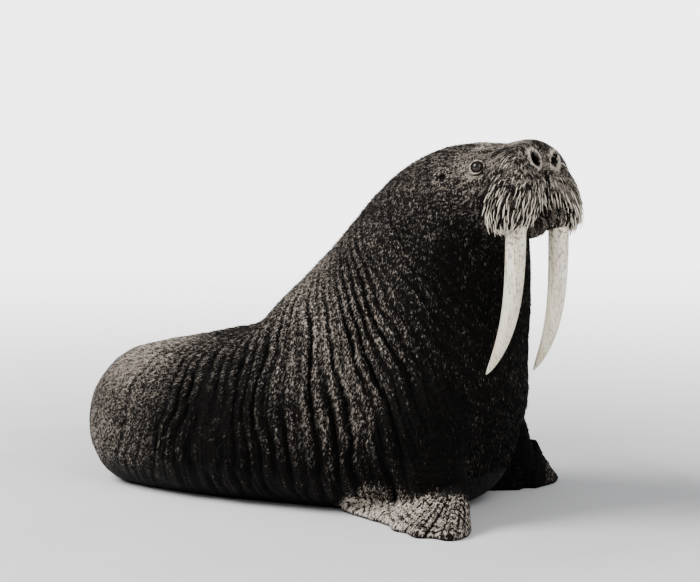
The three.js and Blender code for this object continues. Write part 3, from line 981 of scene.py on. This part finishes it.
def planted(name, bm, place, roots_uv=None):
    """One mesh of many copies of a small shape. place(p) gives the points of all the copies, and
    roots_uv, if any, gives each copy its own small patch in the map for baking."""
    bmesh.ops.triangulate(bm, faces=bm.faces[:])
    shape = bpy.data.meshes.new("one")
    bm.to_mesh(shape)
    bm.free()
    p = coordinates(shape)
    faces = np.array([polygon.vertices[:] for polygon in shape.polygons])
    bpy.data.meshes.remove(shape)
    points = place(p)
    count = len(points)
    every = (faces[None] + (np.arange(count) * len(p))[:, None, None]).reshape(-1, 3)
    mesh = bpy.data.meshes.new(name)
    mesh.vertices.add(count * len(p))
    mesh.loops.add(every.size)
    mesh.polygons.add(len(every))
    mesh.vertices.foreach_set("co", points.astype(np.float32).ravel())
    mesh.loops.foreach_set("vertex_index", every.astype(np.int32).ravel())
    mesh.polygons.foreach_set("loop_start", np.arange(0, every.size, 3, dtype=np.int32))
    mesh.polygons.foreach_set("use_smooth", np.ones(len(every), bool))
    mesh.update(calc_edges=True)
    if roots_uv is not None:
        patch = roots_uv[:, None, None] + p[faces][None, ..., :2] * 0.0015
        layer = mesh.uv_layers.new(name="OFBake")
        layer.data.foreach_set("uv", patch.astype(np.float32).ravel())
    made = shown(name, mesh)
    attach(made, "root")
    return made


def unit(v):
    return v / np.maximum(np.linalg.norm(v, axis=-1, keepdims=True), 1e-9)


def spike(sides, cuts):
    """A closed cone one unit long and one unit in radius, from the floor up, cut across."""
    bm = bmesh.new()
    bmesh.ops.create_cone(bm, cap_ends=True, segments=sides, radius1=1, radius2=0.25, depth=1)
    bmesh.ops.translate(bm, verts=bm.verts, vec=(0, 0, 0.5))
    for i in range(1, cuts + 1):
        bmesh.ops.bisect_plane(
            bm, geom=bm.verts[:] + bm.edges[:] + bm.faces[:],
            plane_co=(0, 0, i / (cuts + 1)), plane_no=(0, 0, 1),
        )
    return bm


# Bristles
# Some six hundred stiff bristles of pale horn stand in rows on the pads. They are combed down and
# away from the nose, lie over one another, and are longest where they hang past the lip.

BRISTLES = {
    "rows": 15, "per_row": 23, "thick": 0.0026, "short": 0.024, "long": 0.045, "sunk": 0.003,
    "lift": 0.30, "sag": 0.15, "wave": 0.06,
}
YAW = (-78, 124)
PITCH = (78, -70)
NOSE_TIP = (1.085, 0.0, 1.285)

hide_surface = surface_of(hide.data)


def bristle_roots(side):
    row, number = np.meshgrid(np.arange(BRISTLES["rows"]), np.arange(BRISTLES["per_row"]))
    down = (row.ravel() + rng.uniform(-0.4, 0.4, row.size)) / (BRISTLES["rows"] - 1)
    share = (number.ravel() + 0.5 * (row.ravel() % 2) + rng.uniform(-0.4, 0.4, row.size))
    share = share / BRISTLES["per_row"]
    yaw = np.radians(YAW[0] + (YAW[1] - YAW[0]) * share)
    pitch = np.radians(PITCH[0] + (PITCH[1] - PITCH[0]) * down)
    face = np.stack((np.cos(yaw) * np.cos(pitch), np.sin(yaw) * np.cos(pitch), np.sin(pitch)), -1)
    middle = on_head(np.array([PAD["at"]]) * (1, side, 1))[0]
    rays = on_head((face + PAD["at"]) * (1, side, 1)) - middle
    found = [hide_surface.ray_cast(Vector(middle), Vector(ray)) for ray in rays]
    root = np.array([hit[0] for hit in found])
    face = np.array([hit[1] for hit in found])
    straight = on_straight_head(root) * (1, side, 1)
    from_nostril = np.linalg.norm(straight - NOSTRIL["at"], axis=1)
    kept = (straight[:, 1] > 0.001) & (from_nostril > 0.030) & (straight[:, 2] < 1.30)
    root, face, down, straight = root[kept], face[kept], down[kept], straight[kept]
    combed = unit(root - on_head(np.array([NOSE_TIP]))) * 0.75 + (0, 0, -0.65)
    combed = unit(combed - face * (combed * face).sum(1)[:, None])
    lift = BRISTLES["lift"] * rng.uniform(0.6, 1.4, (len(down), 1))
    aim = unit(combed + lift * face + rng.normal(0, 0.09, face.shape))
    length = BRISTLES["short"] + (BRISTLES["long"] - BRISTLES["short"]) * ramp(down, 0.20, 0.65)
    by_mouth = (1 - ramp(straight[:, 1], 0.05, 0.11)) * ramp(down, 0.45, 0.70)
    length *= (1 - 0.60 * by_mouth) * (1 - 0.30 * ramp(down, 0.80, 1))
    length *= rng.uniform(0.8, 1.15, len(down))
    return root - BRISTLES["sunk"] * face, aim, face, length


def bristle_place(root, aim, face, length):
    across = unit(np.cross(aim, face))
    other = np.cross(aim, across)
    wave = BRISTLES["wave"] * length * rng.uniform(-1, 1, len(length))
    fine = BRISTLES["thick"] * (0.55 + 0.45 * ramp(length, 0.015, 0.035))[:, None, None]

    def place(p):
        t = p[None, :, 2:]
        long = length[:, None, None]
        q = root[:, None] + long * (aim[:, None] * t - BRISTLES["sag"] * face[:, None] * t**2)
        q[..., 2] -= 0.12 * long[..., 0] * t[..., 0] ** 2
        q += across[:, None] * wave[:, None, None] * np.sin(5.5 * t) * ramp(t, 0, 0.4)
        q += across[:, None] * p[None, :, :1] * fine
        return q + other[:, None] * p[None, :, 1:2] * fine

    return place


# Horn: amber at the root and straw at the tip, some bristles darker than others
horn, tree, shader, here = material("bristle horn")
up = stretch(tree, noted_at(tree, "tip"), 0.0, 0.5)
darker = math_node(tree, "MULTIPLY", noted_at(tree, "tint"), 0.85)
shade = blended(tree, up, (0.26, 0.21, 0.15, 1), (0.76, 0.69, 0.56, 1))
shade = blended(tree, darker, shade, (0.040, 0.031, 0.024, 1))
coloured(tree, shader, shade, noise(tree, here, 160.0, 2.0), 0.55, 0.35)
shader.inputs["Specular IOR Level"].default_value = 0.35
for name, side in SIDES.items():
    bm = spike(5, 4)
    heights = [v.co.z for v in bm.verts]
    bristles = planted(f"bristles_{name}", bm, bristle_place(*bristle_roots(side)))
    count = len(bristles.data.vertices) // len(heights)
    note(bristles.data, "tip", np.tile(heights, count))
    note(bristles.data, "tint", np.repeat(rng.uniform(0, 1, count) ** 2, len(heights)))
    bristles.data.materials.append(horn)

# Claws
# A small dark claw of horn lies on the end of each digit, a little inside the edge of the web. The
# two hindmost digits of each foreflipper end under the flank, so their claws are hidden.

CLAW = {"back": 0.032, "long": 0.018, "wide": 0.0058, "high": 0.0070, "bare": 0.017}
FLIPPER_TOP = 0.12


def claw_roots():
    """Places, directions and normals of the claws that lie bare on top of the flippers."""
    roots, aims, normals = [], [], []
    for form, side in FLIPPERS.values():
        for digit, reach in zip(form["digits"], form["reach"]):
            angle = math.radians(form["heading"] + digit)
            aim = np.array((math.cos(angle), side * math.sin(angle), 0))
            root = np.array((form["root"][0], side * form["root"][1], 0.4)) + ORIGIN
            root += aim * (reach - CLAW["back"])
            place, normal = hide_surface.ray_cast(Vector(root), Vector((0, 0, -1)))[:2]
            if place[2] > FLIPPER_TOP or normal[2] < 0:
                continue
            roots.append(place)
            aims.append(unit(aim - np.array(normal) * np.dot(aim, normal)))
            normals.append(normal)
    return np.array(roots), np.array(aims), np.array(normals)


def claw_place(roots, aims, normals):
    across = np.cross(normals, aims)

    def place(p):
        narrow = 1 - 0.55 * ramp(p[:, 0], -0.2, 1.0)
        ahead = p[:, 0] * CLAW["long"]
        beside = p[:, 1] * CLAW["wide"] * narrow
        above = (p[:, 2] * narrow - 0.45 * p[:, 0] ** 2 + 0.35) * CLAW["high"]
        moved = (ahead, aims), (beside, across), (above, normals)
        return roots[:, None] + sum(size[None, :, None] * way[:, None] for size, way in moved)

    return place


claw_horn, tree, shader, here = material("claw horn")
layers = noise(tree, here, 240.0, 3.0)
shade = blended(tree, layers, (0.012, 0.009, 0.007, 1), (0.055, 0.042, 0.032, 1))
coloured(tree, shader, shade, layers, 0.50, 0.32)
claws_at = claw_roots()
claws = planted("claws", ball(14, 10), claw_place(*claws_at))
claws.data.materials.append(claw_horn)

# Tusks
# Each tusk is one long tooth of ivory, oval across, that hangs from under its pad, nearly straight
# at first and swept back to a blunt point. Fine cracks and stains run down it.

TUSK = {
    "at": (1.080, 0.110, 1.088), "drop": 0.562, "sweep": 0.130, "spread": 0.012,
    "fore": 0.040, "side": 0.031,
}


def tusk_place(side):
    def place(p):
        t = np.arccos(np.clip(p[:, 2], -1, 1)) / np.pi
        around = unit(p[:, :2])
        wide = np.hypot(p[:, 0], p[:, 1])
        taper = (1 - t**2.7) ** 0.7 * np.minimum(1, wide / 0.12 + (t > 0.5))
        turn = np.arctan2(around[:, 1], around[:, 0])
        flute = 1 - 0.030 * np.cos(turn * 2 + 0.6) ** 8 - 0.008 * np.cos(turn * 11 + 3 * t)
        fore = around[:, 0] * TUSK["fore"] * taper * flute
        out = around[:, 1] * TUSK["side"] * taper * flute
        x, y, z = TUSK["at"]
        lean = 3.5 * TUSK["sweep"] * t**2.5
        q = np.stack((
            x - TUSK["sweep"] * t**3.5 + fore,
            y + TUSK["spread"] * t**2 + out,
            z - TUSK["drop"] * t - fore * lean / TUSK["drop"],
        ), -1)
        q[:, 1] *= side
        return on_head(q)

    return place


# Ivory: cream, with thin dark cracks along it, and stains near the gum
ivory, tree, shader, here = material("ivory")
long_way = node(tree, "Mapping", {"Vector": here, "Scale": (90.0, 90.0, 5.0)})
streak = noise(tree, long_way.outputs[0], 1.0, 4.0)
crack = math_node(tree, "ABSOLUTE", math_node(tree, "SUBTRACT", streak, 0.5))
crack = stretch(tree, crack, 0.0, 0.028)
broad = node(tree, "Mapping", {"Vector": here, "Scale": (26.0, 26.0, 3.0)})
tint = noise(tree, broad.outputs[0], 1.0, 5.0)
old = stretch(tree, tint, 0.35, 0.70)
cream = blended(tree, old, (0.80, 0.75, 0.62, 1), (0.66, 0.57, 0.40, 1))
near_gum = stretch(tree, node(tree, "SeparateXYZ", {"Vector": here}).outputs["Z"], 0.74, 1.08)
stain = stretch(tree, noise(tree, here, 62.0, 4.0), 0.54, 0.61)
stained = math_node(tree, "MULTIPLY", stain, near_gum)
cream = blended(tree, stained, cream, (0.085, 0.058, 0.038, 1))
cracked = math_node(tree, "MULTIPLY_ADD", crack, -0.80, 0.80)
cream = blended(tree, cracked, cream, (0.13, 0.09, 0.06, 1))
coloured(tree, shader, cream, tint, 0.30, 0.46)
bump = node(tree, "Bump", {"Height": crack, "Strength": 0.35, "Distance": 0.0012})
tree.links.new(bump.outputs["Normal"], shader.inputs["Normal"])
shader.inputs["Subsurface Weight"].default_value = 0.12
shader.inputs["Subsurface Scale"].default_value = 0.01


def smooth_piece(mesh, look, turned_over):
    """An object from a mesh, shaded smooth, with its faces turned over if they look inwards."""
    if turned_over:
        mesh.flip_normals()
    smooth_faces(mesh)
    mesh.materials.append(look)
    return shown(mesh.name, mesh)


for name, side in SIDES.items():
    mesh = placed(f"tusk_{name}_ivory", ball(64, 140), tusk_place(side))
    tusk = smooth_piece(mesh, ivory, side > 0)
    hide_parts(f"tusk_{name}")
    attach(tusk, "root")

# Eyes
# Small round eyes, dark brown all over, with a black pupil and a wet shine. Each ball lies in its
# lids, and only its front shows.


def eye_place(side):
    def place(p):
        rows = facing(EYE, side)
        return on_head(np.array(EYE["at"]) * (1, side, 1) + (p * EYE["radius"]) @ rows)

    return place


wet, tree, shader, here = material("wet eye")
ring = noted_at(tree, "ring")
fibres = noise(tree, here, 700.0, 3.0)
iris = blended(tree, fibres, (0.004, 0.002, 0.0015, 1), (0.016, 0.008, 0.005, 1))
white = blended(tree, fibres, (0.012, 0.007, 0.006, 1), (0.036, 0.024, 0.020, 1))
colour = blended(tree, stretch(tree, ring, 0.70, 0.76), white, iris)
colour = blended(tree, stretch(tree, ring, 0.945, 0.955), colour, (0.003, 0.003, 0.003, 1))
tree.links.new(colour, shader.inputs["Base Color"])
shader.inputs["Roughness"].default_value = 0.06
shader.inputs["Specular IOR Level"].default_value = 0.10
shader.inputs["Coat Weight"].default_value = 0.40
shader.inputs["Coat Roughness"].default_value = 0.01
for name, side in SIDES.items():
    bm = ball(64, 48)
    ahead = [v.co.z for v in bm.verts]
    mesh = placed(f"eye_{name}_ball", bm, eye_place(side))
    note(mesh, "ring", np.array(ahead))
    eye = smooth_piece(mesh, wet, side < 0)
    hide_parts(f"eye_{name}")
    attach(eye, "root")


# Coat
# Sparse, coarse, short hair lies flat on the hide and points back and down, shortest on the face
# and the feet. Each tuft is one thin spike, and some of them are pale.

TUFTS = 45000
# For each piece of the coat, its first and last section and a tuft's length and thickness
COAT = {
    "hair_of_the_rump": (0, 5.2, 0.016, 0.0018),
    "hair_of_the_loin": (5.2, 7.3, 0.016, 0.0018),
    "hair_of_the_flanks": (7.3, 9.2, 0.016, 0.0018),
    "hair_of_the_shoulders": (9.2, 11.2, 0.016, 0.0018),
    "hair_of_the_neck": (11.2, 15.2, 0.015, 0.0015),
    "hair_of_the_head": (15.2, LAST, 0.013, 0.0011),
}
STROKE = {"long": 0.026, "wide": 0.0062}
DOT = 0.0065

hide_co = coordinates(hide.data)
triangles = np.empty(len(hide.data.polygons) * 3, np.int32)
hide.data.loops.foreach_get("vertex_index", triangles)
triangles = triangles.reshape(-1, 3)
corners = hide_co[triangles]
facet = np.cross(corners[:, 1] - corners[:, 0], corners[:, 2] - corners[:, 0])
area = np.linalg.norm(facet, axis=1) / 2
facet = unit(facet)


def noted(mesh, name):
    found = np.empty(len(mesh.vertices), np.float32)
    mesh.attributes[name].data.foreach_get("value", found)
    return found.astype(float)


notes = {name: noted(hide.data, name) for name in ("tone", "relief", "bare")}
middle = corners.mean(1)
facet_section, facet_angle, facet_out = trunk_places(middle)
to_claw = np.min([np.linalg.norm(middle - at, axis=1) for at in claws_at[0]], axis=0)


def hair_place(root, lie, normal, length, thick):
    across = unit(np.cross(lie, normal))

    def place(p):
        t = p[None, :, 2:]
        q = root[:, None] + (lie * length[:, None])[:, None] * t
        q += normal[:, None] * (length[:, None, None] * (0.30 * t - 0.12 * t * t) - 0.0012 * (1 - t))
        q += across[:, None] * p[None, :, :1] * thick
        q += normal[:, None] * p[None, :, 1:2] * thick * 0.6
        q[..., 2] = np.maximum(q[..., 2], FLOOR_GAP)
        return q

    return place


fur, tree, shader, here = material("coarse hair")
# The hair takes the tone and the fold depth of the hide under it, with their painted light and shade
colour = use(tree, umber, {
    "Tone": noted_at(tree, "tone"), "Relief": noted_at(tree, "relief"),
    "Stroke": noted_at(tree, "tint"), "Place": here,
})
coloured(tree, shader, colour["Color"], noise(tree, here, 30.0, 2.0), 0.50, 0.68)
shader.inputs["Specular IOR Level"].default_value = 0.05

for name, (start, end, length, thick) in COAT.items():
    chance = area * (facet_section >= start) * (facet_section < end)
    chance *= (middle[:, 2] > 0.015) * (facet[:, 2] > -0.75 + 0.6 * (middle[:, 2] < 0.15))
    chance *= notes["bare"][triangles].max(1) < 0.2
    chance *= 1 - 0.90 * palm(middle)
    chance *= to_claw > CLAW["bare"]
    chosen = rng.choice(len(area), TUFTS, p=chance / chance.sum())
    u, v = rng.uniform(0, 1, (2, TUFTS))
    u, v = np.where(u + v > 1, 1 - u, u), np.where(u + v > 1, 1 - v, v)
    share = np.stack((1 - u - v, u, v), -1)
    root = (corners[chosen] * share[..., None]).sum(1)
    normal = facet[chosen]
    s, a = facet_section[chosen], facet_angle[chosen]
    back_way = skin_point(np.maximum(s - 0.25, 0), a) - skin_point(np.minimum(s + 0.25, LAST), a)
    off_trunk = ramp(facet_out[chosen], 0.01, 0.05)[:, None]
    down_way = np.where(s < 13, 0.85, 0.60)[:, None]
    lie = unit(back_way) * (1 - off_trunk) - down_way * (0, 0, 1)
    lie += rng.normal(0, 0.16, lie.shape)
    lie = unit(lie - normal * (lie * normal).sum(1)[:, None])
    long = length * rng.uniform(0.65, 1.2, TUFTS)
    long *= np.where(root[:, 2] < 0.25, 0.55 + 0.45 * (1 - off_trunk[:, 0]), 1)
    unwrap = np.stack((s / LAST, 0.5 + a / (2 * np.pi)), -1)
    bm = bmesh.new()
    bmesh.ops.create_cone(bm, cap_ends=True, segments=3, radius1=1, radius2=0, depth=1)
    bmesh.ops.translate(bm, verts=bm.verts, vec=(0, 0, 0.5))
    hair = planted(name, bm, hair_place(root, lie, normal, long, thick), unwrap)
    per_tuft = len(hair.data.vertices) // TUFTS
    for key in ("tone", "relief"):
        values = (notes[key][triangles[chosen]] * share).sum(1)
        note(hair.data, key, np.repeat(values, per_tuft))
    forward, down = np.interp(s, steps, flank_length), np.abs(a) * 0.16
    slanted = (down * 0.5 - forward * 0.87) / STROKE["long"]
    across = (down * 0.87 + forward * 0.5) / STROKE["wide"]
    strokes = cloud(np.stack((slanted, across, a > 0), -1), 1.0, 31)
    dots = cloud(root, DOT, 32)
    tint = 0.48 + np.where(s > 15, 0.32 * strokes, 0.28 * dots) + rng.normal(0, 0.06, TUFTS)
    note(hair.data, "tint", np.repeat(tint, per_tuft))
    hair.data.materials.append(fur)


# Floor, camera and lamps
# A pale floor that runs out into white all round, one large soft lamp high on the left, a weak one
# on the right, and a pale room for the rest of the light.

PALE = 4.3
ROOM = 0.50
# Each lamp's place, power and size, and where they all point
LAMPS = (((-3.4, -3.6, 5.0), 840, 3.6), ((4.2, -3.0, 3.6), 150, 3))
LIT_AT = (0, 0, 0.6)

bm = bmesh.new()
bmesh.ops.create_grid(bm, x_segments=1, y_segments=1, size=60)
floor = shown("floor", placed("floor", bm, lambda p: p))
paper, tree, shader, here = material("pale floor")
mottle = noise(tree, here, 1.4, 6.0)
shade = blended(tree, mottle, (0.66, 0.66, 0.67, 1), (0.80, 0.80, 0.80, 1))
tree.links.new(shade, shader.inputs["Base Color"])
shader.inputs["Roughness"].default_value = 0.9
shader.inputs["Specular IOR Level"].default_value = 0.1
glow = node(tree, "Emission", {"Color": (1, 1, 1, 1), "Strength": PALE})
far = node(tree, "VectorMath", {0: here}, operation="LENGTH").outputs["Value"]
far = math_node(tree, "DIVIDE", far, math_node(tree, "ADD", far, 6.0))
far = stretch(tree, far, 0.21, 0.90)
both = node(tree, "MixShader", {0: far, 1: shader.outputs[0], 2: glow.outputs[0]})
tree.links.new(both.outputs[0], tree.nodes["Material Output"].inputs["Surface"])
floor.data.materials.append(paper)

camera = shown("camera", bpy.data.cameras.new("camera"))
look_angle = math.radians(VIEW["azimuth"])
camera.location = (
    ORIGIN[0] + VIEW["look"][0] + math.sin(look_angle) * VIEW["away"],
    ORIGIN[1] + VIEW["look"][1] - math.cos(look_angle) * VIEW["away"],
    VIEW["height"],
)
camera.rotation_euler = (math.radians(90 - VIEW["pitch"]), 0, look_angle)
camera.data.sensor_width = SENSOR
camera.data.lens = LENS
bpy.context.scene.camera = camera

world = bpy.data.worlds.new("pale room")
bpy.context.scene.world = world
world.use_nodes = True
tree = world.node_tree
tree.nodes.clear()
seen = node(tree, "LightPath", {}).outputs["Is Camera Ray"]
lit = node(tree, "Background", {"Color": (0.95, 0.97, 1.0, 1), "Strength": ROOM})
white = node(tree, "Background", {"Color": (1, 1, 1, 1), "Strength": PALE})
both = node(tree, "MixShader", {0: seen, 1: lit.outputs[0], 2: white.outputs[0]})
node(tree, "OutputWorld", {"Surface": both.outputs[0]})
for place, power, size in LAMPS:
    lamp = shown("lamp", bpy.data.lights.new("lamp", "AREA"))
    lamp.data.energy = power
    lamp.data.size = size
    lamp.location = place
    lamp.rotation_euler = (Vector(LIT_AT) - Vector(place)).to_track_quat("-Z", "Y").to_euler()
